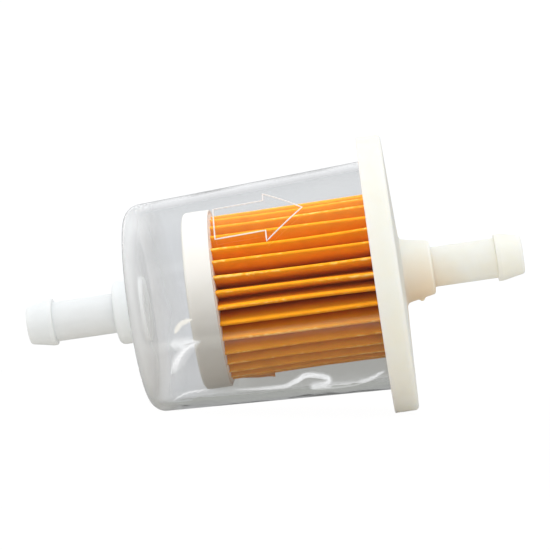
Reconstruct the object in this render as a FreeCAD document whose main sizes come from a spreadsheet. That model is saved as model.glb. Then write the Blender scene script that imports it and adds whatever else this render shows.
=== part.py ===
"""In-line fuel filter for a small engine: clear bowl, pleated paper element, flanged cap, two hose barbs.

Frame: millimetres, +X along the fuel's flow with the origin at the middle of the inlet's mouth, +Z up.
Everything but the pleats, the seam strip and the flow arrow is turned about the X axis.
"""
import FreeCAD, Part
import math
import os

import Sketcher

OUT_DIR = "parts"
MATCH = 1e-3

# Driving dimensions, in millimetres, except for counts and the angles in degrees.
DIMENSIONS = {
    # both nipples, for 1/4 inch hose
    "bore_radius": 2.1,
    "stem_radius": 3.3,
    "crest_radius": 3.88,
    "mouth_radius": 3.15,
    "mouth_round": 0.35,
    "crest_land": 0.7,
    "barb_length": 4.4,
    # inlet fitting, which passes through the bowl's end wall
    "collar_start": 14.75,
    "collar_radius": 5.35,
    "collar_round": 0.85,
    "fitting_length": 20.0,
    # bowl
    "bowl_start": 18.2,
    "end_wall": 1.2,
    "end_dome": 0.25,
    "bowl_end_radius": 17.15,
    "bowl_rim_radius": 19.0,
    "bowl_corner_round": 2.7,
    "inner_corner_round": 1.5,
    "inner_end_radius": 15.75,
    "inner_rim_radius": 17.6,
    "rim_depth": 1.2,
    # flow arrow, a raised outline on the bowl
    "arrow_start": 33.9,
    "arrow_shaft_length": 8.2,
    "arrow_head_length": 6.2,
    "arrow_shaft_width": 6.6,
    "arrow_head_width": 10.4,
    "arrow_line": 0.35,
    "arrow_height": 0.15,
    "arrow_turn": 47.5,
    # outlet cap
    "flange_start": 58.1,
    "flange_thickness": 4.0,
    "flange_radius": 22.9,
    "flange_round": 0.6,
    "face_dome": 0.6,
    "boss_base_radius": 5.35,
    "boss_end_radius": 4.4,
    "boss_length": 4.9,
    "boss_end_round": 0.5,
    "boss_base_round": 0.5,
    "vestige_place": 65.2,
    "vestige_radius": 0.4,
    "vestige_root": 4.2,
    "vestige_tip": 5.3,
    "overall_length": 82.5,
    "recess_depth": 1.2,
    "recess_radius": 14.4,
    # filter element
    "element_start": 28.0,
    "end_cap_length": 4.45,
    "end_cap_radius": 14.7,
    "end_cap_wall": 0.6,
    "end_cap_face": 1.0,
    "end_cap_round": 0.6,
    "potting_inner_radius": 8.4,
    "pleat_count": 33,
    "pleat_outer_radius": 13.65,
    "pleat_inner_radius": 9.0,
    "paper_thickness": 0.44,
    "fold_half_width": 0.54,
    # seam strip between the two ends of the paper
    "seam_thickness": 0.4,
    "seam_inner_radius": 11.6,
    "seam_outer_radius": 13.5,
    "seam_tab_radius": 14.5,
    "seam_tab_length": 7.4,
}


def fill_sheet(doc):
    """Put every driving dimension in its own cell, with its name as the alias."""
    sheet = doc.addObject("Spreadsheet::Sheet", "Dimensions")
    for row, (alias, number) in enumerate(DIMENSIONS.items(), start=1):
        sheet.set(f"A{row}", alias)
        sheet.set(f"B{row}", str(number))
        sheet.setAlias(f"B{row}", alias)
    doc.recompute()
    return sheet


def value(sheet, words):
    """Value of a sum of named dimensions, such as "bowl_start + end_wall"."""
    total = 0.0
    sign = 1
    for word in words.split():
        if word in ("+", "-"):
            sign = 1 if word == "+" else -1
        else:
            total += sign * float(sheet.get(word))
    return total


def bound(words):
    """The same sum as an expression on the sheet's cells."""
    return " ".join(word if word in ("+", "-") else "Dimensions." + word for word in words.split())


def new_body(doc, node):
    body = doc.addObject("PartDesign::Body", node)
    body.Label = node
    return body


def origin_plane(body, role):
    return next(feature for feature in body.Origin.OriginFeatures if feature.Role == role)


def new_sketch(body, name, role):
    sketch = body.newObject("Sketcher::SketchObject", name)
    sketch.AttachmentSupport = (origin_plane(body, role), [""])
    sketch.MapMode = "FlatFace"
    return sketch


def bind_point(sheet, sketch, line, axis_kind, words):
    """Hold a line's start at a named distance from the origin, or on the axis where words is None."""
    if words is None:
        other_axis = -2 if axis_kind == "DistanceX" else -1
        sketch.addConstraint(Sketcher.Constraint("PointOnObject", line, 1, other_axis))
        return
    index = sketch.addConstraint(Sketcher.Constraint(axis_kind, -1, 1, line, 1, value(sheet, words)))
    sketch.setExpression(f"Constraints[{index}]", bound(words))


def draw_outline(sheet, sketch, outline):
    """Closed outline of straight lines. Each point is a pair of sums of dimensions, None for zero."""
    points = []
    for along, across in outline:
        x = value(sheet, along) if along else 0.0
        y = value(sheet, across) if across else 0.0
        points.append(FreeCAD.Vector(x, y, 0))
    count = len(points)
    first = sketch.GeometryCount
    for i in range(count):
        sketch.addGeometry(Part.LineSegment(points[i], points[(i + 1) % count]), False)
    for i in range(count):
        following = first + (i + 1) % count
        sketch.addConstraint(Sketcher.Constraint("Coincident", first + i, 2, following, 1))
    for i, (along, across) in enumerate(outline):
        bind_point(sheet, sketch, first + i, "DistanceX", along)
        bind_point(sheet, sketch, first + i, "DistanceY", across)


def turned_body(doc, sheet, node, outline):
    """Body turned about the X axis from an outline of (distance along X, radius) points."""
    body = new_body(doc, node)
    sketch = new_sketch(body, node + "_profile", "XZ_Plane")
    draw_outline(sheet, sketch, outline)
    turn = body.newObject("PartDesign::Revolution", node + "_turn")
    turn.Profile = sketch
    turn.ReferenceAxis = (sketch, ["H_Axis"])
    turn.Angle = 360
    doc.recompute()
    return body


def ring_edges(shape, along, radius):
    """Names of the circular edges of this radius that lie at this place on the X axis."""
    names = []
    for i, edge in enumerate(shape.Edges, start=1):
        curve = edge.Curve
        if not isinstance(curve, Part.Circle):
            continue
        if abs(curve.Radius - radius) < MATCH and abs(curve.Center.x - along) < MATCH:
            names.append(f"Edge{i}")
    return names


def round_ring(doc, sheet, body, along, across, round_name):
    """Round one ring-shaped edge of a turned body."""
    base = body.Tip
    edges = ring_edges(body.Shape, value(sheet, along) if along else 0.0, value(sheet, across))
    fillet = body.newObject("PartDesign::Fillet", f"{body.Name}_{round_name}")
    fillet.Base = (base, edges)
    fillet.Radius = value(sheet, round_name)
    fillet.setExpression("Radius", bound(round_name))
    body.Tip = fillet
    doc.recompute()


def make_inlet_fitting(doc, sheet):
    """Milky nipple with one barb and a collar that goes through the bowl's end wall."""
    outline = [
        (None, "bore_radius"),
        (None, "mouth_radius"),
        ("barb_length - crest_land", "crest_radius"),
        ("barb_length", "crest_radius"),
        ("barb_length", "stem_radius"),
        ("collar_start", "stem_radius"),
        ("collar_start", "collar_radius"),
        ("fitting_length", "collar_radius"),
        ("fitting_length", "bore_radius"),
    ]
    body = turned_body(doc, sheet, "inlet_fitting", outline)
    round_ring(doc, sheet, body, None, "mouth_radius", "mouth_round")
    round_ring(doc, sheet, body, "collar_start", "collar_radius", "collar_round")
    return body


def arrow_loops(sheet):
    """Outer and inner outline of the arrow's line, flat, with the arrow along X."""
    start = value(sheet, "arrow_start")
    neck = start + value(sheet, "arrow_shaft_length")
    tip = neck + value(sheet, "arrow_head_length")
    shaft = value(sheet, "arrow_shaft_width") / 2
    head = value(sheet, "arrow_head_width") / 2
    line = value(sheet, "arrow_line")
    outer = [
        (start, -shaft),
        (neck, -shaft),
        (neck, -head),
        (tip, 0),
        (neck, head),
        (neck, shaft),
        (start, shaft),
    ]
    slant = math.hypot(head, tip - neck) / head * line
    waist = (tip - slant - neck - line) * head / (tip - neck)
    inner = [
        (start + line, line - shaft),
        (neck + line, line - shaft),
        (neck + line, -waist),
        (tip - slant, 0),
        (neck + line, waist),
        (neck + line, shaft - line),
        (start + line, shaft - line),
    ]
    return outer, inner


def arrow_cone(doc, sheet, name, sign):
    """Cone that follows the bowl's taper, larger or smaller by the arrow's height."""
    cone = doc.addObject("Part::Cone", name)
    cone.setExpression("Radius1", f"Dimensions.bowl_end_radius {sign} Dimensions.arrow_height")
    cone.setExpression("Radius2", f"Dimensions.bowl_rim_radius {sign} Dimensions.arrow_height")
    cone.setExpression("Height", "Dimensions.flange_start - Dimensions.bowl_start")
    along_x = FreeCAD.Rotation(FreeCAD.Vector(0, 1, 0), 90)
    cone.Placement = FreeCAD.Placement(FreeCAD.Vector(value(sheet, "bowl_start"), 0, 0), along_x)
    return cone


def make_arrow(doc, sheet):
    """Raised outline of an arrow that points along the flow, as a thin shell on the bowl's cone."""
    outline_body = new_body(doc, "arrow_outline")
    sketch = new_sketch(outline_body, "arrow_sketch", "XY_Plane")
    for loop in arrow_loops(sheet):
        for here, there in zip(loop, loop[1:] + loop[:1]):
            side = Part.LineSegment(FreeCAD.Vector(*here, 0), FreeCAD.Vector(*there, 0))
            sketch.addGeometry(side, False)
    pad = outline_body.newObject("PartDesign::Pad", "arrow_pad")
    pad.Profile = sketch
    pad.setExpression("Length", bound("flange_radius"))
    turn = FreeCAD.Rotation(FreeCAD.Vector(1, 0, 0), value(sheet, "arrow_turn"))
    outline_body.Placement = FreeCAD.Placement(FreeCAD.Vector(0, 0, 0), turn)
    shell = doc.addObject("Part::Cut", "arrow_shell")
    shell.Base = arrow_cone(doc, sheet, "arrow_skin", "+")
    shell.Tool = arrow_cone(doc, sheet, "arrow_core", "-")
    arrow = doc.addObject("Part::Common", "arrow")
    arrow.Base = shell
    arrow.Tool = outline_body
    doc.recompute()
    return arrow


def make_bowl(doc, sheet):
    """Clear tapered cup, pierced for the inlet fitting, with the flow arrow raised on its side."""
    outline = [
        ("bowl_start", "collar_radius"),
        ("bowl_start + end_dome", "bowl_end_radius"),
        ("flange_start", "bowl_rim_radius"),
        ("flange_start + rim_depth", "bowl_rim_radius"),
        ("flange_start + rim_depth", "inner_rim_radius"),
        ("flange_start", "inner_rim_radius"),
        ("bowl_start + end_wall", "inner_end_radius"),
        ("bowl_start + end_wall", "collar_radius"),
    ]
    body = turned_body(doc, sheet, "bowl_cup", outline)
    round_ring(doc, sheet, body, "bowl_start + end_dome", "bowl_end_radius", "bowl_corner_round")
    round_ring(doc, sheet, body, "bowl_start + end_wall", "inner_end_radius", "inner_corner_round")
    bowl = doc.addObject("Part::Fuse", "bowl")
    bowl.Label = "bowl"
    bowl.Base = body
    bowl.Tool = make_arrow(doc, sheet)
    doc.recompute()
    return bowl


def add_vestige(doc, sheet, body):
    """Stub left by the moulding gate, under the boss."""
    sketch = new_sketch(body, "vestige_circle", "XY_Plane")
    root = value(sheet, "vestige_root")
    sketch.AttachmentOffset = FreeCAD.Placement(FreeCAD.Vector(0, 0, -root), FreeCAD.Rotation())
    centre = FreeCAD.Vector(value(sheet, "vestige_place"), 0, 0)
    radius = value(sheet, "vestige_radius")
    circle = sketch.addGeometry(Part.Circle(centre, FreeCAD.Vector(0, 0, 1), radius), False)
    size = sketch.addConstraint(Sketcher.Constraint("Radius", circle, radius))
    sketch.setExpression(f"Constraints[{size}]", bound("vestige_radius"))
    sketch.addConstraint(Sketcher.Constraint("PointOnObject", circle, 3, -1))
    place = sketch.addConstraint(Sketcher.Constraint("DistanceX", -1, 1, circle, 3, centre.x))
    sketch.setExpression(f"Constraints[{place}]", bound("vestige_place"))
    stub = body.newObject("PartDesign::Pad", "vestige")
    stub.Profile = sketch
    stub.Reversed = True
    stub.setExpression("Length", bound("vestige_tip - vestige_root"))
    body.Tip = stub
    doc.recompute()


def make_outlet_cap(doc, sheet):
    """Flange, tapered boss and barbed outlet in one moulding, grooved for the bowl's rim."""
    outline = [
        ("flange_start", "bowl_rim_radius"),
        ("flange_start", "flange_radius"),
        ("flange_start + flange_thickness", "flange_radius"),
        ("flange_start + flange_thickness + face_dome", "boss_base_radius"),
        ("flange_start + flange_thickness + face_dome + boss_length", "boss_end_radius"),
        ("flange_start + flange_thickness + face_dome + boss_length", "stem_radius"),
        ("overall_length - barb_length", "stem_radius"),
        ("overall_length - barb_length", "crest_radius"),
        ("overall_length - barb_length + crest_land", "crest_radius"),
        ("overall_length", "mouth_radius"),
        ("overall_length", "bore_radius"),
        ("flange_start + recess_depth", "bore_radius"),
        ("flange_start + recess_depth", "recess_radius"),
        ("flange_start", "recess_radius"),
        ("flange_start", "inner_rim_radius"),
        ("flange_start + rim_depth", "inner_rim_radius"),
        ("flange_start + rim_depth", "bowl_rim_radius"),
    ]
    body = turned_body(doc, sheet, "outlet_cap", outline)
    outer_face = "flange_start + flange_thickness"
    boss_base = outer_face + " + face_dome"
    round_ring(doc, sheet, body, outer_face, "flange_radius", "flange_round")
    round_ring(doc, sheet, body, boss_base, "boss_base_radius", "boss_base_round")
    round_ring(doc, sheet, body, boss_base + " + boss_length", "boss_end_radius", "boss_end_round")
    round_ring(doc, sheet, body, "overall_length", "mouth_radius", "mouth_round")
    add_vestige(doc, sheet, body)
    return body


def make_end_cap(doc, sheet):
    """Closed white cup that blinds the element's inlet end."""
    outline = [
        ("element_start", None),
        ("element_start", "end_cap_radius"),
        ("element_start + end_cap_length", "end_cap_radius"),
        ("element_start + end_cap_length", "end_cap_radius - end_cap_wall"),
        ("element_start + end_cap_face", "end_cap_radius - end_cap_wall"),
        ("element_start + end_cap_face", None),
    ]
    body = turned_body(doc, sheet, "element_end_cap", outline)
    round_ring(doc, sheet, body, "element_start", "end_cap_radius", "end_cap_round")
    return body


def make_end_cap_potting(doc, sheet):
    """Cast disc that bonds the pleats in the end cap."""
    outline = [
        ("element_start + end_cap_face", None),
        ("element_start + end_cap_face", "end_cap_radius - end_cap_wall"),
        ("element_start + end_cap_length", "end_cap_radius - end_cap_wall"),
        ("element_start + end_cap_length", None),
    ]
    return turned_body(doc, sheet, "end_cap_potting", outline)


def make_outlet_potting(doc, sheet):
    """Cast ring that bonds the pleats in the outlet cap's recess."""
    outline = [
        ("flange_start", "potting_inner_radius"),
        ("flange_start", "recess_radius"),
        ("flange_start + recess_depth", "recess_radius"),
        ("flange_start + recess_depth", "potting_inner_radius"),
    ]
    return turned_body(doc, sheet, "outlet_potting", outline)


def pleat_points(sheet, fold):
    """Points of the band's two faces over one pleat, going round from one valley to the next.

    A fold is flat across its crest. The outer face has half width fold_half_width at a ridge and the
    inner face is one paper thickness inside it. In a valley the two faces change places.
    """
    pitch = 2 * math.pi / value(sheet, "pleat_count")
    thickness = value(sheet, "paper_thickness")
    wide = value(sheet, "fold_half_width")
    narrow = wide - thickness
    ridge = value(sheet, "pleat_outer_radius")
    valley = value(sheet, "pleat_inner_radius") + thickness

    def point(turn, radius, sideways):
        x = radius * math.cos(turn) - sideways * math.sin(turn)
        y = radius * math.sin(turn) + sideways * math.cos(turn)
        return (x, y)

    here = (fold + 0.5) * pitch
    gap = here + pitch / 2
    outer = [
        point(here, ridge, -wide),
        point(here, ridge, wide),
        point(gap, valley, -narrow),
        point(gap, valley, narrow),
    ]
    inner = [
        point(here, ridge - thickness, -narrow),
        point(here, ridge - thickness, narrow),
        point(gap, valley - thickness, -wide),
        point(gap, valley - thickness, wide),
    ]
    return outer, inner


def closed_wire(flat_points, along):
    """Polygon across the X axis. A turn of zero points straight down, into a valley."""
    corners = [FreeCAD.Vector(along, -y, -x) for x, y in flat_points]
    return Part.makePolygon(corners + corners[:1])


def make_pleated_media(doc, sheet):
    """Paper folded to and fro into a round band, from the end cap to the outlet cap."""
    outer = []
    inner = []
    for fold in range(int(value(sheet, "pleat_count"))):
        outer_part, inner_part = pleat_points(sheet, fold)
        outer += outer_part
        inner += inner_part
    start = value(sheet, "element_start + end_cap_length")
    length = value(sheet, "flange_start") - start
    face = Part.Face(closed_wire(outer, start)).cut(Part.Face(closed_wire(inner, start))).Faces[0]
    band = doc.addObject("Part::Feature", "pleated_media")
    band.Label = "pleated_media"
    band.Shape = face.extrude(FreeCAD.Vector(length, 0, 0))
    band.Placement = FreeCAD.Placement()
    return band


def make_media_seam(doc, sheet):
    """Glued strip in the lowest valley, with a tab that stands out near the end cap."""
    body = new_body(doc, "media_seam")
    sketch = new_sketch(body, "media_seam_profile", "XZ_Plane")
    start = "element_start + end_cap_length"
    outline = [
        (start, "seam_inner_radius"),
        ("flange_start", "seam_inner_radius"),
        ("flange_start", "seam_outer_radius"),
        (start + " + seam_tab_length", "seam_outer_radius"),
        (start + " + seam_tab_length", "seam_tab_radius"),
        (start, "seam_outer_radius"),
    ]
    draw_outline(sheet, sketch, outline)
    pad = body.newObject("PartDesign::Pad", "media_seam_pad")
    pad.Profile = sketch
    pad.Midplane = True
    pad.setExpression("Length", bound("seam_thickness"))
    straight_down = FreeCAD.Rotation(FreeCAD.Vector(1, 0, 0), 180)
    body.Placement = FreeCAD.Placement(FreeCAD.Vector(0, 0, 0), straight_down)
    doc.recompute()
    return body


def check(doc, pieces):
    """Stop if any object failed to compute or any piece isn't one valid solid."""
    for thing in doc.Objects:
        if "Invalid" in thing.State or "Error" in thing.State:
            raise RuntimeError(f"{thing.Name} failed: {thing.State}")
    for piece in pieces:
        shape = piece.Shape
        if shape.isNull() or not shape.isValid() or len(shape.Solids) != 1:
            raise RuntimeError(f"{piece.Label} isn't one valid solid")


def main():
    doc = FreeCAD.newDocument("fuel_filter")
    sheet = fill_sheet(doc)
    makers = [
        make_inlet_fitting,
        make_bowl,
        make_outlet_cap,
        make_end_cap,
        make_end_cap_potting,
        make_outlet_potting,
        make_pleated_media,
        make_media_seam,
    ]
    pieces = [make(doc, sheet) for make in makers]
    doc.recompute()
    check(doc, pieces)
    os.makedirs(OUT_DIR, exist_ok=True)
    for piece in pieces:
        piece.Shape.exportStep(os.path.join(OUT_DIR, piece.Label + ".step"))
        print(f"{piece.Label}: {piece.Shape.Volume:.1f} mm3, {len(piece.Shape.Faces)} faces")


main()
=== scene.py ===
"""Looks of the in-line fuel filter.

Shapes are given in millimetres and scaled once, when a mesh is made. Materials, stage and lamps
are in metres. Colours are linear.
"""

import math
import random

import bmesh
import bpy
from mathutils import Matrix, Vector


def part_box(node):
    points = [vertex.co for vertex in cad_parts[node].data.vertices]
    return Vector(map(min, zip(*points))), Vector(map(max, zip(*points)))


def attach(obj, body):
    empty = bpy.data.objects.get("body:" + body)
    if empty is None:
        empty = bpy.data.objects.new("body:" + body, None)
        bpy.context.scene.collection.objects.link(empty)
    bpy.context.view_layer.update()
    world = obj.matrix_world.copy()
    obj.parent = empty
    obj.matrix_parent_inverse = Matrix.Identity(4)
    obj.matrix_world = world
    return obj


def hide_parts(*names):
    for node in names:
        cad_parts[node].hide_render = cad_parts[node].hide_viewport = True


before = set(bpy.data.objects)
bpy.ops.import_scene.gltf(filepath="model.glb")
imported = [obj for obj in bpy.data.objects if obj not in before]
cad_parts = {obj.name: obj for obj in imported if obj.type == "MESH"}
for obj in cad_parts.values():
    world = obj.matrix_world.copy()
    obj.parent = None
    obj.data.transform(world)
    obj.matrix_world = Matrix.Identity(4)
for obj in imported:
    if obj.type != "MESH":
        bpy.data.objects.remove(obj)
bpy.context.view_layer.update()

MM = 0.001
ON_AXIS = 1e-6
ROOT = "root"

# Shapes that the frame's boxes don't give.
BORE_RADIUS = 2.1
STEM_RADIUS = 3.3
CREST_RADIUS = 3.88
CREST_LAND = 0.7
MOUTH_RADIUS = 3.15
MOUTH_ROUND = 0.45
BARB_LENGTH = 4.4
BARB_STEP = 0.05
COLLAR_START = 14.75
END_DOME = 0.25
END_BEND_SHARE = 0.3
END_BEND_RADIUS = 11.0
END_BEND_ROUND = 8.0
END_WALL = 1.2
BOWL_END_RADIUS = 17.15
BOWL_CORNER_ROUND = 2.7
INNER_END_RADIUS = 15.75
INNER_CORNER_ROUND = 1.5
INNER_RIM_RADIUS = 17.6
RIM_DEPTH = 1.2
FLANGE_THICKNESS = 4.0
FACE_DOME = 0.6
FACE_BEND_DROP = 0.15
FACE_BEND_OUT = 3.5
FACE_BEND_ROUND = 6.0
BOSS_BASE_RADIUS = 5.35
BOSS_END_RADIUS = 4.4
BOSS_LENGTH = 4.9
VESTIGE_PLACE = 65.2
VESTIGE_TIP = 5.3
VESTIGE_RADIUS = 0.42
VESTIGE_DEPTH = 1.2
VESTIGE_RINGS = (-0.9, -0.6, -0.4, -0.2, 0, 0.2, 0.4, 0.6, 0.9)
RECESS_RADIUS = 14.4
END_CAP_WALL = 0.6
END_CAP_FACE = 1.0
POTTING_PROUD = 0.2
POTTING_SLOPE = 0.35
POTTING_BORE = 8.4
JOINT_GAP = 0.02

# Folded paper, and how askew the element stands. What differs between folds is drawn by chance:
# their lean, skew and bow as shares of the pitch, and how far they sink. The twist is common to all.
PLEATS = 33
PLEAT_RADIUS = 13.7
PLEAT_INNER_RADIUS = 9.0
FOLD_RADIUS = 0.18
FOLD_ARC = (-75, -45, -15, 15, 45, 75)
FOLD_SEED = 677
FOLD_LEAN = 0.1
FOLD_SKEW = 0.05
FOLD_TWIST = 0.1
FOLD_BOW = 0.05
FOLD_SINK = 0.2
FOLD_RIPPLE = 0.05
PAPER_THICKNESS = 0.3
PAPER_STATIONS = 22
PAPER_OVERLAP = 0.05
PAPER_END_GAP = 0.03
ELEMENT_LEAN = 0.011

# Seam of the paper, with its tab near the end cap.
SEAM_THICKNESS = 0.34
SEAM_INNER_RADIUS = 11.6
SEAM_RADIUS = 13.5
SEAM_SWEEP = 0.25
SEAM_LAYERS = 5
SEAM_STEPS = 10
TAB_LENGTH = 7.0
TAB_RADIUS = 13.6
TAB_RISE = 0.88
TAB_EDGE = 0.02
TAB_STEPS = 8

# Flow arrow. Its turn is in degrees from straight down, towards the viewer.
ARROW_START = 33.87
ARROW_SHAFT_LENGTH = 8.18
ARROW_HEAD_LENGTH = 6.2
ARROW_SHAFT_HALF = 3.32
ARROW_HEAD_HALF = 5.28
ARROW_TURN = 132.45
ARROW_LINE_RADIUS = 0.11
ARROW_STEPS = 12


def low(cad_node):
    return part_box(cad_node)[0] / MM


def high(cad_node):
    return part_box(cad_node)[1] / MM


BOWL_START = low("bowl").x
BOWL_RIM_RADIUS = high("bowl").z
FLANGE_START = low("outlet_cap").x
FLANGE_RADIUS = high("outlet_cap").z
OVERALL = high("outlet_cap").x
WALL_END = high("inlet_fitting").x
COLLAR_RADIUS = high("inlet_fitting").z
CAP_START = low("element_end_cap").x
CAP_END = high("element_end_cap").x
CAP_RADIUS = high("element_end_cap").z

# A material's pale and deep colours. Paper has three: along folds, where a highlight is painted,
# on flanks, and in valleys, where shade is painted.
MILKY_NYLON = ((0.87, 0.895, 0.905), (0.84, 0.865, 0.875))
CREAM_NYLON = ((0.95, 0.925, 0.86), (0.935, 0.9, 0.81))
MOULDED_LINE = ((0.97, 0.97, 0.95), (0.93, 0.93, 0.91))
POTTING = ((0.9, 0.87, 0.8), (0.86, 0.82, 0.74))
WHITE_PLASTIC = ((0.67, 0.65, 0.61), (0.64, 0.62, 0.575))
FILTER_PAPER = ((0.95, 0.55, 0.13), (0.86, 0.34, 0.01), (0.58, 0.13, 0.002))
SEAM_PAPER = ((0.7, 0.3, 0.06), (0.62, 0.24, 0.04), (0.45, 0.12, 0.01))
AMBER = (0.8, 0.6, 0.38, 1)
AMBER_SHARE = 0.75
AMBER_PLACE = Vector((64.8, -1.5, -5.5)) * MM

# Stretches over which a look changes, in metres: along the bowl from milky to clear, down the bowl
# from smooth to rippled, away from a spot under the boss from amber to plain, out of the paper from
# painted valley shade to painted crest highlight, and along the floor from its open part to its
# painted shadow beneath the element.
CLEARING = (0.017, 0.0222)
RIPPLING = (-0.0135, -0.0155)
FADING = (0.001, 0.0095)
FOLD_SHADING = (0.0095, 0.014)
SHADING = (0.024, 0.034)
MILKY_CLEARNESS = 0.52

# Surroundings: radiance at the horizon and its change towards straight up and the front, what the
# eye sees, what glossy faces mirror beside the filter, and how often light may bounce.
SKY_LIGHT = 0.92
SKY_SLOPE = 0.34
SKY_FRONT = 0.12
SKY_HIGH_TINT = (0.985, 0.995, 1.0)
SKY_LOW_TINT = (0.98, 1.0, 0.93)
SEEN_WHITE = 1.05
SIDE_LIGHT = 0.5
SIDE_START = (0.2, 0.35)
CLEAR_BOUNCES = 32
DULL_BOUNCES = 8

# Floor. Seen through the clear wall it has one level near the inlet and a lower one under the
# element: a painted shadow with a warm tint.
FLOOR_SIZE = 0.16
FLOOR_COLOUR = (0.52, 0.49, 0.44, 1)
FLOOR_CLEARNESS = 0.93
FLOOR_THROUGH = 0.62
FLOOR_SHADOW_LEVEL = 0.38
FLOOR_SHADOW_TINT = (1.0, 0.97, 0.88)

# Lamps, in watts and metres. The key's rise is in degrees above the horizon.
LAMP_MIDDLE = Vector((0.045, 0, 0))
LAMP_AWAY = 0.45
LAMP_SIZE = 0.28
KEY_POWER = 2.1
KEY_RISE = 66
KEY_SIDE = -0.1
FILL_POWER = 0.34
FILL_SIDE = Vector((0, -0.4, -0.9))

# What the glossy faces mirror, as (angle in degrees, brightness). The angle turns about the X axis
# from straight in front, so 90 is overhead and 180 is behind.
MIRRORED = [
    (-180, 0.5), (-171, 0.5), (-166, 0.36), (-140, 0.42), (-52, 0.42), (-50, 0.85), (-40, 0.95),
    (-39, 0.1), (52, 0.1), (74, 0.3), (100, 0.74), (143, 0.76), (150, 0.88), (158, 1.02),
    (167, 1.05), (173, 0.3), (180, 0.2),
]

# Painted lines of light low on the bowl's wall, as (along, degrees from straight down).
GLEAM_LIGHT = 1.1
GLEAM_INSET = 0.05
GLEAM_WARMTH = (1.0, 0.96, 0.86)
GLEAM_HOOK = [
    (32.5, 29), (37, 27), (41, 27), (43, 31), (44.5, 35), (46.5, 35), (48.5, 30), (47.5, 25),
    (45.5, 22.5), (47, 20.5), (50, 20), (52.5, 21), (55, 25), (57.5, 32),
]
GLEAM_ARC = [(23.5, 48), (24.3, 55), (25.3, 60), (26.5, 64), (28.6, 67)]
GLEAM_ARC_TOP = [(24.4, 68), (26, 68), (28.6, 68)]
GLEAM_HIGH = [(25.4, 74), (26.6, 79), (28.6, 81)]
GLEAM_TAIL = [(52.6, 22), (55, 26.5), (57.6, 33)]
GLEAM_TAIL_CORE = [(53.4, 23), (55, 26.5), (57.6, 33)]
GLEAM_FOOT = [(22.5, 22), (24.5, 29), (26.5, 31), (29, 31)]

# Camera, in millimetres and degrees.
CAMERA_AIM = Vector((41.57, 2.23, 2.44))
CAMERA_AWAY = 397.5
CAMERA_YAW = 3.07
CAMERA_ROLL = 8.27
CAMERA_ANGLE = 13.12
CAMERA_CLIP = 10


# ---------------------------------------------------------------- meshes


def rounded(outline, steps=8, closed=False):
    """Outline with its corners rounded. Each corner is (along, across, radius of the rounding)."""
    points = []
    count = len(outline)
    for i, (x, r, radius) in enumerate(outline):
        corner = Vector((x, r))
        at_end = not closed and i in (0, count - 1)
        if radius <= 0 or at_end:
            points.append(corner)
            continue
        before = Vector(outline[i - 1][:2]) - corner
        after = Vector(outline[(i + 1) % count][:2]) - corner
        half = before.angle(after) / 2
        reach = radius / math.tan(half)
        middle = (before.normalized() + after.normalized()).normalized()
        centre = corner + middle * (radius / math.sin(half))
        first = corner + before.normalized() * reach - centre
        last = corner + after.normalized() * reach - centre
        turn = first.angle_signed(last)
        for step in range(steps + 1):
            points.append(centre + Matrix.Rotation(-turn * step / steps, 2) @ first)
    return points


def with_supports(points, closed, gap=0.12):
    """Adds a point near each end of every long straight stretch, to keep it flat when smooth."""
    result = []
    count = len(points)
    for i, here in enumerate(points):
        result.append(here)
        if not closed and i == count - 1:
            break
        there = points[(i + 1) % count]
        run = there - here
        if run.length > 4 * gap:
            result.append(here + run.normalized() * gap)
            result.append(there - run.normalized() * gap)
    return result


def add_object(name, mesh, replaced, material, shade_angle=35):
    """Piece of the filter that stands for one CAD node."""
    obj = bpy.data.objects.new(name, mesh)
    bpy.context.scene.collection.objects.link(obj)
    mesh.materials.append(material)
    for polygon in mesh.polygons:
        polygon.use_smooth = True
    mesh.set_sharp_from_angle(angle=math.radians(shade_angle))
    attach(obj, ROOT)
    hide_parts(replaced)
    return obj


def mesh_from(name, points, faces):
    """Mesh of points in millimetres, with its faces turned outwards."""
    made = bmesh.new()
    verts = [made.verts.new(Vector(point) * MM) for point in points]
    for face in faces:
        made.faces.new([verts[i] for i in face])
    bmesh.ops.recalc_face_normals(made, faces=made.faces[:])
    mesh = bpy.data.meshes.new(name)
    made.to_mesh(mesh)
    made.free()
    return mesh


def lathe_mesh(name, outline, closed=True, segments=192, steps=8):
    """Turns a rounded outline about the X axis."""
    points = []
    rings = []
    for along, radius in with_supports(rounded(outline, steps, closed), closed):
        if radius < ON_AXIS:
            rings.append([len(points)])
            points.append((along, 0, 0))
            continue
        ring = []
        for k in range(segments):
            turn = 2 * math.pi * k / segments
            ring.append(len(points))
            points.append((along, -radius * math.sin(turn), radius * math.cos(turn)))
        rings.append(ring)
    faces = []
    pairs = len(rings) if closed else len(rings) - 1
    for i in range(pairs):
        one = rings[i]
        two = rings[(i + 1) % len(rings)]
        for k in range(segments):
            here, there = k % len(one), (k + 1) % len(one)
            hence, thence = k % len(two), (k + 1) % len(two)
            corners = [one[here], one[there], two[thence], two[hence]]
            faces.append(list(dict.fromkeys(corners)))
    return mesh_from(name, points, faces)


def drawn_line(name, places, radius, material):
    """Round line of a radius in millimetres through places in metres."""
    curve = bpy.data.curves.new(name, "CURVE")
    curve.dimensions = "3D"
    curve.bevel_depth = radius * MM
    spline = curve.splines.new("POLY")
    spline.points.add(len(places) - 1)
    for point, place in zip(spline.points, places):
        point.co = (*place, 1)
    line = bpy.data.objects.new(name, curve)
    bpy.context.scene.collection.objects.link(line)
    curve.materials.append(material)
    return line


# ---------------------------------------------------------------- materials


def new_material(name):
    material = bpy.data.materials.new(name)
    material.use_nodes = True
    tree = material.node_tree
    return material, tree, tree.nodes["Principled BSDF"]


def feed(tree, socket, operand):
    """Links a socket to another one, or gives it a plain number or colour."""
    if isinstance(operand, bpy.types.NodeSocket):
        tree.links.new(operand, socket)
    else:
        socket.default_value = operand


def node(tree, kind, **inputs):
    """Node with some of its inputs fed. An underscore in a name stands for a space."""
    made = tree.nodes.new(kind)
    for key, operand in inputs.items():
        feed(tree, made.inputs[key.replace("_", " ")], operand)
    return made


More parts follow.
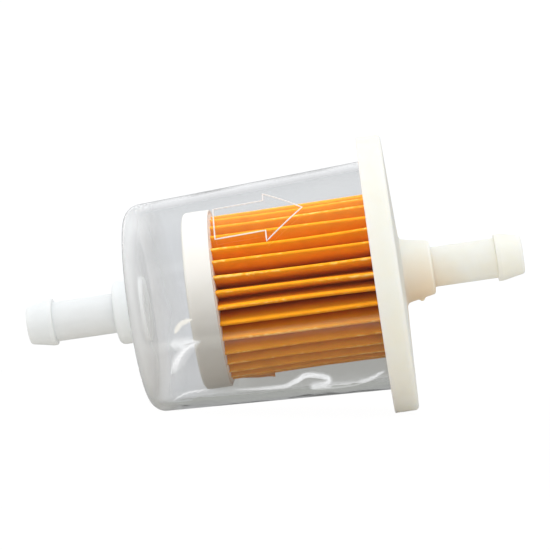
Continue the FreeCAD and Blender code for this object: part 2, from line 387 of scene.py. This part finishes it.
def noise(tree, coords, scale, detail=2.0, roughness=0.5):
    """Noise whose features are about 1/scale metres across."""
    return node(tree, "ShaderNodeTexNoise", Vector=coords, Scale=scale, Detail=detail,
                Roughness=roughness).outputs["Fac"]


def ramp(tree, source, stops):
    """Colour that follows a number through stops of (place, colour)."""
    made = node(tree, "ShaderNodeValToRGB", Fac=source)
    elements = made.color_ramp.elements
    ends = ((elements[0], stops[0]), (elements[1], stops[-1]))
    for element, (place, colour) in ends:
        element.position = place
        element.color = (*colour, 1)
    for place, colour in stops[1:-1]:
        elements.new(place).color = (*colour, 1)
    return made.outputs["Color"]


def mapped(tree, source, low_in, high_in, low_out, high_out):
    return node(tree, "ShaderNodeMapRange", Value=source, From_Min=low_in, From_Max=high_in,
                To_Min=low_out, To_Max=high_out).outputs["Result"]


def math_node(tree, operation, first, second=0):
    made = tree.nodes.new("ShaderNodeMath")
    made.operation = operation
    feed(tree, made.inputs[0], first)
    feed(tree, made.inputs[1], second)
    return made.outputs["Value"]


def mix_node(tree, kind, share, first, second):
    """Mix node that goes from the first to the second operand as the share goes from 0 to 1."""
    made = tree.nodes.new("ShaderNodeMix")
    made.data_type = kind
    for key, operand in (("Factor", share), ("A", first), ("B", second)):
        feed(tree, made.inputs[key], operand)
    return made


def blended(tree, share, first, second):
    return mix_node(tree, "FLOAT", share, first, second).outputs["Result"]


def mixed_shader(tree, share, first, second):
    made = node(tree, "ShaderNodeMixShader", Fac=share)
    tree.links.new(first, made.inputs[1])
    tree.links.new(second, made.inputs[2])
    return made.outputs["Shader"]


def emission(tree, strength, colour=(1, 1, 1)):
    return node(tree, "ShaderNodeEmission", Color=(*colour, 1), Strength=strength)


def transparent(tree):
    return tree.nodes.new("ShaderNodeBsdfTransparent").outputs["BSDF"]


def axes_of(tree, vector):
    return node(tree, "ShaderNodeSeparateXYZ", Vector=vector).outputs


def object_coords(tree):
    return tree.nodes.new("ShaderNodeTexCoord").outputs["Object"]


def bump(tree, shader, height, strength, distance, before=None):
    """Relief on a shader's surface, added to an earlier relief where there is one."""
    made = node(tree, "ShaderNodeBump", Height=height, Strength=strength, Distance=distance)
    if before:
        tree.links.new(before, made.inputs["Normal"])
    tree.links.new(made.outputs["Normal"], shader.inputs["Normal"])
    return made.outputs["Normal"]


def spread_light(shader, weight, radius, scale):
    """Light that travels inside the material, by a radius per colour times a scale in metres."""
    shader.inputs["Subsurface Weight"].default_value = weight
    shader.inputs["Subsurface Radius"].default_value = radius
    shader.inputs["Subsurface Scale"].default_value = scale


def cloudy_tint(tree, coords, scale, pale, deep):
    return ramp(tree, noise(tree, coords, scale, 4, 0.6), [(0.3, deep), (0.7, pale)])


def clear_polymer():
    """Clear moulded bowl: faint grey-blue tint, wavy faces, some haze and a milky closed end."""
    material, tree, shader = new_material("clear_polymer")
    shader.inputs["IOR"].default_value = 1.5
    coords = object_coords(tree)
    axes = axes_of(tree, coords)
    wave = noise(tree, coords, 90, 1.5)
    tint = ramp(tree, wave, [(0.3, (0.94, 0.95, 0.965)), (0.7, (0.96, 0.965, 0.975))])
    tree.links.new(tint, shader.inputs["Base Color"])
    reach = math_node(tree, "SUBTRACT", axes["X"], math_node(tree, "MULTIPLY", wave, 0.004))
    clearness = mapped(tree, reach, *CLEARING, MILKY_CLEARNESS, 1.0)
    tree.links.new(clearness, shader.inputs["Transmission Weight"])
    haze = mapped(tree, noise(tree, coords, 260, 3), 0.3, 0.8, 0.015, 0.05)
    tree.links.new(haze, shader.inputs["Roughness"])
    gentle = bump(tree, shader, wave, 0.12, 0.0006)
    underside = mapped(tree, axes["Z"], *RIPPLING, 0, 1)
    flow = math_node(tree, "MULTIPLY", noise(tree, coords, 170), underside)
    bump(tree, shader, flow, 1.0, 0.00008, gentle)
    return material


def nylon(name, colours, glow, reach, amber_spot=False):
    """Part see-through nylon: light spreads inside it, with cloudy streaks from moulding.

    With amber_spot, the nylon is tinted amber round a spot on the underside of the boss.
    """
    material, tree, shader = new_material(name)
    coords = object_coords(tree)
    tint = cloudy_tint(tree, coords, 220, *colours)
    if amber_spot:
        away = tree.nodes.new("ShaderNodeVectorMath")
        away.operation = "DISTANCE"
        feed(tree, away.inputs[0], coords)
        feed(tree, away.inputs[1], AMBER_PLACE)
        share = mapped(tree, away.outputs["Value"], *FADING, AMBER_SHARE, 0)
        tint = mix_node(tree, "RGBA", share, tint, AMBER).outputs["Result"]
    tree.links.new(tint, shader.inputs["Base Color"])
    shader.inputs["IOR"].default_value = 1.53
    spread_light(shader, 1.0, glow, reach)
    gloss = mapped(tree, noise(tree, coords, 900, 3), 0.3, 0.7, 0.29, 0.42)
    tree.links.new(gloss, shader.inputs["Roughness"])
    bump(tree, shader, noise(tree, coords, 1500, 3), 0.12, 0.0001)
    return material


def matte_white(name, colours):
    material, tree, shader = new_material(name)
    coords = object_coords(tree)
    tree.links.new(cloudy_tint(tree, coords, 300, *colours), shader.inputs["Base Color"])
    shader.inputs["Roughness"].default_value = 0.55
    spread_light(shader, 0.3, (1.0, 0.9, 0.8), 0.001)
    bump(tree, shader, noise(tree, coords, 1200, 4), 0.2, 0.0001)
    return material


def paper(name, colours):
    """Resin-treated paper of short fibres: painted highlight on folds, painted shade in valleys."""
    crest, flank, valley = colours
    material, tree, shader = new_material(name)
    coords = object_coords(tree)
    axes = axes_of(tree, coords)
    across = node(tree, "ShaderNodeCombineXYZ", Y=axes["Y"], Z=axes["Z"]).outputs["Vector"]
    radius = tree.nodes.new("ShaderNodeVectorMath")
    radius.operation = "LENGTH"
    feed(tree, radius.inputs[0], across)
    # Painted light and shade: by distance from the axis, deep in the valleys, pale along the crests.
    height = mapped(tree, radius.outputs["Value"], *FOLD_SHADING, 0.0, 1.0)
    stretched = node(tree, "ShaderNodeMapping", Vector=coords, Scale=(0.35, 1, 1))
    fibres = noise(tree, stretched.outputs["Vector"], 3200, 4, 0.65)
    shade = tree.nodes.new("ShaderNodeMath")
    shade.operation = "MULTIPLY_ADD"
    for socket, operand in zip(shade.inputs, (fibres, 0.16, height)):
        feed(tree, socket, operand)
    stops = [(0.1, valley), (0.6, flank), (0.98, flank), (1.0, crest)]
    tint = ramp(tree, shade.outputs["Value"], stops)
    patches = noise(tree, coords, 450, 3)
    blotch = ramp(tree, patches, [(0.3, (0.75, 0.7, 0.65)), (0.65, (1, 1, 1))])
    uneven = mix_node(tree, "RGBA", 0.35, tint, blotch)
    uneven.blend_type = "MULTIPLY"
    tree.links.new(uneven.outputs["Result"], shader.inputs["Base Color"])
    shader.inputs["Roughness"].default_value = 0.72
    shader.inputs["Specular IOR Level"].default_value = 0.05
    spread_light(shader, 0.35, (1.0, 0.45, 0.12), 0.0006)
    bump(tree, shader, fibres, 0.35, 0.00006)
    return material


# ---------------------------------------------------------------- the filter's pieces


def bowl_radius(along):
    """Outer radius of the bowl's straight taper."""
    share = (along - BOWL_START) / (FLANGE_START - BOWL_START)
    return BOWL_END_RADIUS + (BOWL_RIM_RADIUS - BOWL_END_RADIUS) * share


def inner_radius(along):
    """Radius of the bowl's inner wall."""
    start = BOWL_START + END_WALL
    share = (along - start) / (FLANGE_START - start)
    return INNER_END_RADIUS + (INNER_RIM_RADIUS - INNER_END_RADIUS) * share


def make_bowl(material):
    """Clear cup with a rounded end, a hole for the inlet fitting and a rim in the cap's groove."""
    hole = COLLAR_RADIUS + JOINT_GAP
    rim = FLANGE_START + RIM_DEPTH - JOINT_GAP
    outer = BOWL_RIM_RADIUS - JOINT_GAP
    inner = INNER_RIM_RADIUS + JOINT_GAP
    outline = [
        (BOWL_START, hole, 0.1),
        (BOWL_START + END_DOME * END_BEND_SHARE, END_BEND_RADIUS, END_BEND_ROUND),
        (BOWL_START + END_DOME, BOWL_END_RADIUS, BOWL_CORNER_ROUND),
        (FLANGE_START, outer, 0),
        (rim, outer, 0.15),
        (rim, inner, 0.15),
        (FLANGE_START, inner, 0),
        (BOWL_START + END_WALL, INNER_END_RADIUS, INNER_CORNER_ROUND),
        (BOWL_START + END_WALL, hole, 0.1),
    ]
    mesh = lathe_mesh("clear_bowl", outline, steps=14, segments=256)
    bowl = add_object("clear_bowl", mesh, "bowl", material)
    bowl.visible_shadow = False
    bowl.visible_diffuse = False


def nipple_outline(mouth, direction):
    """Outline of a barbed nipple from its mouth to its stem, along one direction of X."""
    return [
        (mouth, BORE_RADIUS, 0.12),
        (mouth, MOUTH_RADIUS, MOUTH_ROUND),
        (mouth + direction * (BARB_LENGTH - CREST_LAND), CREST_RADIUS, 0.5),
        (mouth + direction * BARB_LENGTH, CREST_RADIUS, 0.1),
        (mouth + direction * (BARB_LENGTH + BARB_STEP), STEM_RADIUS, 0.12),
    ]


def make_inlet(material):
    outline = nipple_outline(0, 1) + [
        (COLLAR_START, STEM_RADIUS, 0.35),
        (COLLAR_START, COLLAR_RADIUS, 0.9),
        (WALL_END, COLLAR_RADIUS, 0.1),
        (WALL_END, BORE_RADIUS, 0.1),
    ]
    mesh = lathe_mesh("inlet_nipple", outline, segments=128)
    return add_object("inlet_nipple", mesh, "inlet_fitting", material)


def raise_vestige(mesh):
    """Pulls the stub of the moulding gate out of the underside of the boss."""
    middle = Vector((VESTIGE_PLACE, 0, -VESTIGE_TIP)) * MM
    for vertex in mesh.vertices:
        away = (vertex.co - middle) / MM
        spread = math.hypot(away.x, away.y) / VESTIGE_RADIUS
        if spread < 2.5 and abs(away.z) < VESTIGE_DEPTH:
            pull = math.exp(-spread ** 4)
            vertex.co.z -= (vertex.co.z - middle.z) * pull


def boss_outline(base):
    """Tapered side of the boss, with close rings where the vestige stands."""
    outline = [(base, BOSS_BASE_RADIUS, 0.8)]
    slope = (BOSS_END_RADIUS - BOSS_BASE_RADIUS) / BOSS_LENGTH
    for step in VESTIGE_RINGS:
        along = VESTIGE_PLACE + step
        outline.append((along, BOSS_BASE_RADIUS + slope * (along - base), 0))
    outline.append((base + BOSS_LENGTH, BOSS_END_RADIUS, 0.55))
    return outline


def make_outlet_cap(material):
    """Domed flange, tapered boss and barbed nipple in one moulding."""
    face = FLANGE_START + FLANGE_THICKNESS
    base = face + FACE_DOME
    groove = FLANGE_START + RIM_DEPTH
    outline = [
        (FLANGE_START, BOWL_RIM_RADIUS, 0),
        (FLANGE_START, FLANGE_RADIUS, 0.15),
        (face, FLANGE_RADIUS, 0.7),
        (base - FACE_BEND_DROP, BOSS_BASE_RADIUS + FACE_BEND_OUT, FACE_BEND_ROUND),
        *boss_outline(base),
        (base + BOSS_LENGTH, STEM_RADIUS, 0.3),
        *reversed(nipple_outline(OVERALL, -1)),
        (groove, BORE_RADIUS, 0.1),
        (groove, RECESS_RADIUS, 0),
        (FLANGE_START, RECESS_RADIUS, 0.1),
        (FLANGE_START, INNER_RIM_RADIUS, 0),
        (groove, INNER_RIM_RADIUS, 0),
        (groove, BOWL_RIM_RADIUS, 0),
    ]
    mesh = lathe_mesh("flanged_cap", outline, segments=256)
    raise_vestige(mesh)
    return add_object("flanged_cap", mesh, "outlet_cap", material)


def lean_element(mesh):
    """Sets a piece of the element slightly askew, most at the end cap and nothing at the flange."""
    for vertex in mesh.vertices:
        share = (FLANGE_START * MM - vertex.co.x) / ((FLANGE_START - CAP_START) * MM)
        vertex.co.x += ELEMENT_LEAN * vertex.co.z * max(share, 0)


def make_end_cap(material):
    """Closed cup into which the inlet end of the paper is cast."""
    bore = CAP_RADIUS - END_CAP_WALL
    floor = CAP_START + END_CAP_FACE
    outline = [
        (CAP_START, 0, 0),
        (CAP_START, CAP_RADIUS, 0.7),
        (CAP_END, CAP_RADIUS, 0.12),
        (CAP_END, bore, 0.1),
        (floor, bore, 0),
        (floor, 0, 0),
    ]
    mesh = lathe_mesh("white_end_cap", outline, closed=False)
    lean_element(mesh)
    return add_object("white_end_cap", mesh, "element_end_cap", material)


def on_circle(along, turn, radius, sideways=0):
    """Point at an angle from straight down, towards the -Y side, with a step sideways."""
    y = -radius * math.sin(turn) - sideways * math.cos(turn)
    z = -radius * math.cos(turn) + sideways * math.sin(turn)
    return Vector((along, y, z))


def between(first, last):
    """Inner points of a straight stretch of paper."""
    return [first.lerp(last, share) for share in (0.2, 0.4, 0.6, 0.8)]


def fold_section(along, ridges, valleys, ridge_radii):
    """Middle line of the paper across the axis, as a closed row of points."""
    turns = [math.radians(turn) for turn in FOLD_ARC]
    arc = [(FOLD_RADIUS * math.cos(turn), FOLD_RADIUS * math.sin(turn)) for turn in turns]
    bottom = PLEAT_INNER_RADIUS + PAPER_THICKNESS / 2 + FOLD_RADIUS
    crests = []
    troughs = []
    for ridge, valley, radius in zip(ridges, valleys, ridge_radii):
        top = radius - PAPER_THICKNESS / 2 - FOLD_RADIUS
        crests.append([on_circle(along, ridge, top + out, side) for out, side in arc])
        troughs.append([on_circle(along, valley, bottom - out, side) for out, side in arc])
    line = []
    for crest, trough, following in zip(crests, troughs, crests[1:] + crests[:1]):
        line += crest + between(crest[-1], trough[0])
        line += trough + between(trough[-1], following[0])
    return line


def paper_sections():
    """Middle line at each station along the axis. The folds lean, bow and sink unevenly."""
    chance = random.Random(FOLD_SEED)
    pitch = 2 * math.pi / PLEATS
    lean = [chance.uniform(-FOLD_LEAN, FOLD_LEAN) * pitch for _ in range(PLEATS)]
    skew = [(chance.uniform(-FOLD_SKEW, FOLD_SKEW) - FOLD_TWIST) * pitch for _ in range(PLEATS)]
    bow = [chance.uniform(-FOLD_BOW, FOLD_BOW) * pitch for _ in range(PLEATS)]
    sink = [chance.uniform(0, FOLD_SINK) for _ in range(PLEATS)]
    wave = [chance.uniform(0, 2 * math.pi) for _ in range(PLEATS)]
    start = CAP_END - PAPER_OVERLAP
    end = FLANGE_START - PAPER_END_GAP
    sections = []
    for station in range(PAPER_STATIONS + 1):
        share = station / PAPER_STATIONS
        centred = 2 * share - 1
        belly = 1 - centred * centred
        ridges = []
        radii = []
        for j in range(PLEATS):
            shift = lean[j] + skew[j] * centred + bow[j] * belly
            ridges.append((j + 0.5) * pitch + shift)
            ripple = FOLD_RIPPLE * math.sin(5 * share + wave[j])
            radii.append(PLEAT_RADIUS - sink[j] * (0.5 + 0.5 * belly) + ripple - FOLD_RIPPLE)
        following = ridges[1:] + [ridges[0] + 2 * math.pi]
        valleys = [(here + there) / 2 for here, there in zip(ridges, following)]
        along = start + (end - start) * share
        sections.append(fold_section(along, ridges, valleys, radii))
    return sections


def make_paper(material):
    """Folded band with an outer and an inner face, closed at both ends."""
    sections = paper_sections()
    rows = len(sections)
    count = len(sections[0])
    points = []
    for side in (1, -1):
        for section in sections:
            for i, point in enumerate(section):
                tangent = (section[(i + 1) % count] - section[i - 1]).normalized()
                outwards = Vector((0, tangent.z, -tangent.y))
                points.append(point + outwards * PAPER_THICKNESS / 2 * side)
    around = [(i, (i + 1) % count) for i in range(count)]
    faces = []
    for base in (0, rows * count):
        for row in range(rows - 1):
            one = base + row * count
            two = one + count
            faces += [[one + i, one + j, two + j, two + i] for i, j in around]
    for row in (0, rows - 1):
        outer = row * count
        inner = (rows + row) * count
        faces += [[outer + i, outer + j, inner + j, inner + i] for i, j in around]
    mesh = mesh_from("folded_paper", points, faces)
    lean_element(mesh)
    return add_object("folded_paper", mesh, "pleated_media", material, 80)


def make_seam(material):
    """Glued strip in the lowest valley, with its tab bent out near the end cap."""
    start = CAP_END
    end = FLANGE_START - PAPER_END_GAP
    tab = start + TAB_LENGTH
    stations = [start + (tab - start) * k / TAB_STEPS for k in range(TAB_STEPS + 1)]
    stations += [tab + TAB_EDGE + (end - tab) * k / SEAM_STEPS for k in range(SEAM_STEPS + 1)]
    points = []
    for along in stations:
        tip = SEAM_RADIUS
        if along <= tab:
            tip = TAB_RADIUS + TAB_RISE * ((along - start) / (tab - start)) ** 1.3
        for layer in range(SEAM_LAYERS + 1):
            share = layer / SEAM_LAYERS
            radius = SEAM_INNER_RADIUS + (tip - SEAM_INNER_RADIUS) * share
            sweep = SEAM_SWEEP * share * share * math.sin(0.3 * along)
            for side in (SEAM_THICKNESS / 2, -SEAM_THICKNESS / 2):
                points.append(on_circle(along, 0, radius, sweep + side))
    row = 2 * (SEAM_LAYERS + 1)
    loop = list(range(0, row, 2)) + list(range(row - 1, 0, -2))
    faces = []
    for k in range(len(stations) - 1):
        one, two = k * row, (k + 1) * row
        for a, b in zip(loop, loop[1:] + loop[:1]):
            faces.append([one + a, one + b, two + b, two + a])
    for k in (0, len(stations) - 1):
        for layer in range(SEAM_LAYERS):
            base = k * row + 2 * layer
            faces.append([base, base + 1, base + 3, base + 2])
    mesh = mesh_from("seam_strip", points, faces)
    lean_element(mesh)
    return add_object("seam_strip", mesh, "media_seam", material)


def make_potting(material):
    """Cast adhesive at both ends of the paper."""
    bore = CAP_RADIUS - END_CAP_WALL
    disc = [
        (CAP_START + END_CAP_FACE, 0, 0),
        (CAP_START + END_CAP_FACE, bore, 0),
        (CAP_END - JOINT_GAP, bore, 0),
        (CAP_END + POTTING_PROUD, PLEAT_RADIUS - POTTING_SLOPE, 0.08),
        (CAP_END + POTTING_PROUD, 0, 0),
    ]
    cast_disc = lathe_mesh("cast_disc", disc, closed=False)
    lean_element(cast_disc)
    near = FLANGE_START + JOINT_GAP
    far = FLANGE_START + RIM_DEPTH - JOINT_GAP
    ring = [
        (near, POTTING_BORE, 0.3),
        (near, RECESS_RADIUS - JOINT_GAP, 0.1),
        (far, RECESS_RADIUS - JOINT_GAP, 0),
        (far, POTTING_BORE, 0),
    ]
    cast_ring = lathe_mesh("cast_ring", ring)
    return [
        add_object("cast_disc", cast_disc, "end_cap_potting", material),
        add_object("cast_ring", cast_ring, "outlet_potting", material),
    ]


def make_arrow(material):
    """Flow arrow: a thin line raised on the bowl, wrapped round its taper."""
    neck = ARROW_START + ARROW_SHAFT_LENGTH
    corners = [
        (ARROW_START, -ARROW_SHAFT_HALF),
        (neck, -ARROW_SHAFT_HALF),
        (neck, -ARROW_HEAD_HALF),
        (neck + ARROW_HEAD_LENGTH, 0),
        (neck, ARROW_HEAD_HALF),
        (neck, ARROW_SHAFT_HALF),
        (ARROW_START, ARROW_SHAFT_HALF),
    ]
    places = []
    for here, there in zip(corners, corners[1:] + corners[:1]):
        for step in range(ARROW_STEPS):
            along, sideways = Vector(here).lerp(Vector(there), step / ARROW_STEPS)
            radius = bowl_radius(along)
            turn = math.radians(ARROW_TURN) + sideways / radius
            places.append(on_circle(along, turn, radius) * MM)
    arrow = drawn_line("flow_arrow", places, ARROW_LINE_RADIUS, material)
    arrow.data.bevel_resolution = 3
    arrow.data.splines[0].use_cyclic_u = True
    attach(arrow, ROOT)


# ---------------------------------------------------------------- stage, light and camera


def floor_material():
    """Dull white to the light, but almost plain white to the eye, so that its shadow is faint.

    A ray that came through the clear wall meets a glow instead, dimmer and warmer beneath the
    element as a painted shadow, and a mirrored ray nothing.
    """
    material, tree, shader = new_material("pale_floor")
    shader.inputs["Base Color"].default_value = FLOOR_COLOUR
    shader.inputs["Roughness"].default_value = 0.9
    path = tree.nodes.new("ShaderNodeLightPath").outputs
    seen = path["Is Camera Ray"]
    position = tree.nodes.new("ShaderNodeNewGeometry").outputs["Position"]
    # Painted shadow beneath the element, seen through the clear wall: a lower, warmer glow.
    shadowed = mapped(tree, axes_of(tree, position)["X"], *SHADING, 0, 1)
    level = blended(tree, shadowed, FLOOR_THROUGH, FLOOR_SHADOW_LEVEL)
    shadow_tinting = math_node(tree, "MULTIPLY", shadowed, math_node(tree, "SUBTRACT", 1.0, seen))
    glow = emission(tree, blended(tree, seen, level, SEEN_WHITE))
    tree.links.new(ramp(tree, shadow_tinting, [(0, (1, 1, 1)), (1, FLOOR_SHADOW_TINT)]), glow.inputs["Color"])
    faint = math_node(tree, "MULTIPLY", seen, FLOOR_CLEARNESS)
    share = math_node(tree, "MAXIMUM", path["Is Transmission Ray"], faint)
    surface = mixed_shader(tree, share, shader.outputs["BSDF"], glow.outputs["Emission"])
    mirrored = math_node(tree, "GREATER_THAN", path["Glossy Depth"], 0.5)
    surface = mixed_shader(tree, mirrored, surface, transparent(tree))
    tree.links.new(surface, tree.nodes["Material Output"].inputs["Surface"])
    return material


def white_floor():
    """Floor on which the filter lies, touched by the flange and by the bowl's rounded end."""
    rest_along = BOWL_START + BOWL_CORNER_ROUND
    rise = FLANGE_RADIUS - bowl_radius(rest_along)
    lean = math.atan2(rise, FLANGE_START - rest_along)
    bpy.ops.mesh.primitive_circle_add(vertices=96, radius=FLOOR_SIZE, fill_type="NGON")
    floor = bpy.context.object
    floor.name = "floor"
    floor.data.materials.append(floor_material())
    floor.rotation_euler = (0, lean, 0)
    floor.location = (FLANGE_START * MM, 0, -FLANGE_RADIUS * MM)
    floor.visible_glossy = False


def smooth_path(knots, steps=24):
    """Places along a smooth curve through the knots."""
    places = []
    for i in range(len(knots) - 1):
        chosen = [min(max(i + k, 0), len(knots) - 1) for k in (-1, 0, 1, 2)]
        near = [Vector(knots[k]) for k in chosen]
        for step in range(steps):
            t = step / steps
            slope = near[2] - near[0]
            bend = 2 * near[0] - 5 * near[1] + 4 * near[2] - near[3]
            twist = 3 * near[1] - near[0] - 3 * near[2] + near[3]
            places.append(0.5 * (2 * near[1] + slope * t + bend * t ** 2 + twist * t ** 3))
    return places


def gleam_light(name, colour, opacity):
    """Painted light: a thin glow laid over what is behind it."""
    material = bpy.data.materials.new(name)
    material.use_nodes = True
    tree = material.node_tree
    tree.nodes.clear()
    light = emission(tree, GLEAM_LIGHT, colour).outputs["Emission"]
    surface = mixed_shader(tree, opacity, transparent(tree), light)
    output = tree.nodes.new("ShaderNodeOutputMaterial")
    tree.links.new(surface, output.inputs["Surface"])
    return material


def gleam(name, knots, radius, material, wave=0, phase=0):
    """Painted line of focused light glowing on the bowl's inner wall, tapered at both ends."""
    places = []
    for i, (along, turn) in enumerate(smooth_path(knots)):
        turn += wave * (math.sin(0.55 * i + phase) + 0.6 * math.sin(1.27 * i + 2 * phase))
        radius_here = inner_radius(along) - GLEAM_INSET
        places.append(on_circle(along, math.radians(turn), radius_here) * MM)
    line = drawn_line(name, places, radius, material)
    for i, point in enumerate(line.data.splines[0].points):
        share = i / len(places)
        point.radius = min(1, 4 * share, 4 * (1 - share))
    line.visible_camera = False
    line.visible_diffuse = False
    line.visible_glossy = False
    line.visible_shadow = False


def moved(knots, along_step, turn_step):
    return [(along + along_step, turn + turn_step) for along, turn in knots]


def bowl_gleams():
    """Painted light: bright lines glowing low on the bowl's wall, for light the bowl gathers."""
    bright = gleam_light("gleam_bright", (1, 1, 1), 0.42)
    soft = gleam_light("gleam_soft", (1, 1, 1), 0.09)
    warm = gleam_light("gleam_warm", GLEAM_WARMTH, 0.2)
    for number in range(4):
        gleam(f"gleam_hook_{number}", GLEAM_HOOK, 0.05, bright, 1.7, 1.7 * number)
    for number in range(3):
        arc = moved(GLEAM_ARC, 0.4 * number, 0.6 * number)
        gleam(f"gleam_arc_{number}", arc, 0.09, bright, 0.5, 2.3 * number)
        gleam(f"gleam_arc_band_{number}", arc, 0.3 + 0.4 * number, soft)
        gleam(f"gleam_arc_top_{number}", GLEAM_ARC_TOP, 0.4 + 0.3 * number, soft)
        gleam(f"gleam_hook_band_{number}", GLEAM_HOOK, 0.2 + 0.16 * number, soft)
        gleam(f"gleam_high_{number}", GLEAM_HIGH, 0.2 + 0.12 * number, warm)
        gleam(f"gleam_tail_{number}", GLEAM_TAIL, 0.06 + 0.1 * number, soft)
    gleam("gleam_tail_core", GLEAM_TAIL_CORE, 0.06, bright, 0.8)
    gleam("gleam_foot", GLEAM_FOOT, 0.07, bright, 0.6)
    gleam("gleam_foot_edge", moved(GLEAM_FOOT, 0.5, 1.2), 0.05, bright, 0.5, 1)


def mirrored_light(tree, axes):
    """Brightness of the surroundings as glossy faces show them.

    It follows MIRRORED round the X axis, and is at least SIDE_LIGHT towards the two ends.
    """
    forward = math_node(tree, "MULTIPLY", axes["Y"], -1)
    angle = math_node(tree, "ARCTAN2", axes["Z"], forward)
    place = mapped(tree, angle, -math.pi, math.pi, 0, 1)
    brightest = max(light for _, light in MIRRORED)
    stops = [((turn + 180) / 360, (light / brightest,) * 3) for turn, light in MIRRORED]
    around = math_node(tree, "MULTIPLY", ramp(tree, place, stops), brightest)
    aside = math_node(tree, "ABSOLUTE", axes["X"])
    ahead = math_node(tree, "ABSOLUTE", forward)
    excess = math_node(tree, "SUBTRACT", aside, ahead)
    beside = mapped(tree, excess, *SIDE_START, 0, SIDE_LIGHT)
    return math_node(tree, "MAXIMUM", around, beside)


def light_studio():
    """White surroundings to the eye. Their light falls from bright overhead to dim below."""
    world = bpy.data.worlds.new("studio")
    bpy.context.scene.world = world
    world.use_nodes = True
    tree = world.node_tree
    sky = tree.nodes["Background"]
    axes = axes_of(tree, tree.nodes.new("ShaderNodeTexCoord").outputs["Generated"])
    rise = mapped(tree, axes["Z"], -1, 1, SKY_LIGHT - SKY_SLOPE, SKY_LIGHT + SKY_SLOPE)
    front = math_node(tree, "MULTIPLY", axes["Y"], SKY_FRONT)
    level = math_node(tree, "SUBTRACT", rise, front)
    path = tree.nodes.new("ShaderNodeLightPath").outputs
    mirrored = math_node(tree, "GREATER_THAN", path["Glossy Depth"], 0.5)
    level = blended(tree, mirrored, level, mirrored_light(tree, axes))
    level = blended(tree, path["Is Camera Ray"], level, SEEN_WHITE)
    tree.links.new(level, sky.inputs["Strength"])
    lowness = mapped(tree, axes["Z"], -0.2, -0.6, 0, 1)
    tint = ramp(tree, lowness, [(0, SKY_HIGH_TINT), (1, SKY_LOW_TINT)])
    tree.links.new(tint, sky.inputs["Color"])


def soft_lamp(name, power, towards, pieces):
    """Soft light that only the given pieces take."""
    lamp = bpy.data.lights.new(name, "AREA")
    lamp.shape = "DISK"
    lamp.size = LAMP_SIZE
    lamp.energy = power
    shape = bpy.data.objects.new(name, lamp)
    bpy.context.scene.collection.objects.link(shape)
    shape.location = LAMP_MIDDLE + towards * LAMP_AWAY
    shape.rotation_euler = towards.to_track_quat("Z", "Y").to_euler()
    shape.visible_camera = False
    shape.visible_glossy = False
    shape.visible_transmission = False
    lit = bpy.data.collections.new(f"lit_by_{name}")
    for piece in pieces:
        lit.objects.link(piece)
    shape.light_linking.receiver_collection = lit
    shape.light_linking.blocker_collection = lit


def key_lights(element, nylon_pieces):
    """One lamp from above for the element, and a weak one from below for the nylon.

    The second stands for light that the nylon passes on and that the renderer doesn't trace.
    """
    rise = math.radians(KEY_RISE)
    above = Vector((KEY_SIDE, -math.cos(rise), math.sin(rise))).normalized()
    soft_lamp("key", KEY_POWER, above, element)
    soft_lamp("fill", FILL_POWER, FILL_SIDE.normalized(), nylon_pieces)


def light_bounces():
    """Enough bounces for light to find its way out of the thick clear wall."""
    cycles = bpy.context.scene.cycles
    cycles.max_bounces = CLEAR_BOUNCES
    cycles.transmission_bounces = CLEAR_BOUNCES
    cycles.diffuse_bounces = DULL_BOUNCES


def place_camera():
    """Camera a forearm away, a little towards the outlet end, rolled by how the filter lies."""
    yaw = math.radians(CAMERA_YAW)
    roll = math.radians(CAMERA_ROLL)
    forward = Vector((-math.sin(yaw), math.cos(yaw), 0))
    level = Vector((math.cos(yaw), math.sin(yaw), 0))
    right = level * math.cos(roll) - Vector((0, 0, 1)) * math.sin(roll)
    up = right.cross(forward)
    data = bpy.data.cameras.new("camera")
    data.angle = math.radians(CAMERA_ANGLE)
    data.clip_start = CAMERA_CLIP * MM
    camera = bpy.data.objects.new("camera", data)
    bpy.context.scene.collection.objects.link(camera)
    turn = Matrix((right, up, -forward)).transposed().to_4x4()
    place = (CAMERA_AIM - forward * CAMERA_AWAY) * MM
    camera.matrix_world = Matrix.Translation(place) @ turn
    bpy.context.scene.camera = camera


def make_filter():
    """Makes every piece, and gives those of the opaque element and those of nylon."""
    make_bowl(clear_polymer())
    milky = nylon("milky_nylon", MILKY_NYLON, (1.0, 1.0, 1.0), 0.0018)
    cream = nylon("cream_nylon", CREAM_NYLON, (1.0, 0.95, 0.85), 0.0015, amber_spot=True)
    nylon_pieces = [make_inlet(milky), make_outlet_cap(cream)]
    make_arrow(matte_white("moulded_line", MOULDED_LINE))
    element = make_potting(matte_white("potting", POTTING))
    element.append(make_end_cap(matte_white("white_plastic", WHITE_PLASTIC)))
    element.append(make_paper(paper("filter_paper", FILTER_PAPER)))
    element.append(make_seam(paper("seam_paper", SEAM_PAPER)))
    return element, nylon_pieces


key_lights(*make_filter())
white_floor()
bowl_gleams()
light_studio()
light_bounces()
place_camera()
bpy.context.scene.view_settings.view_transform = "Standard"
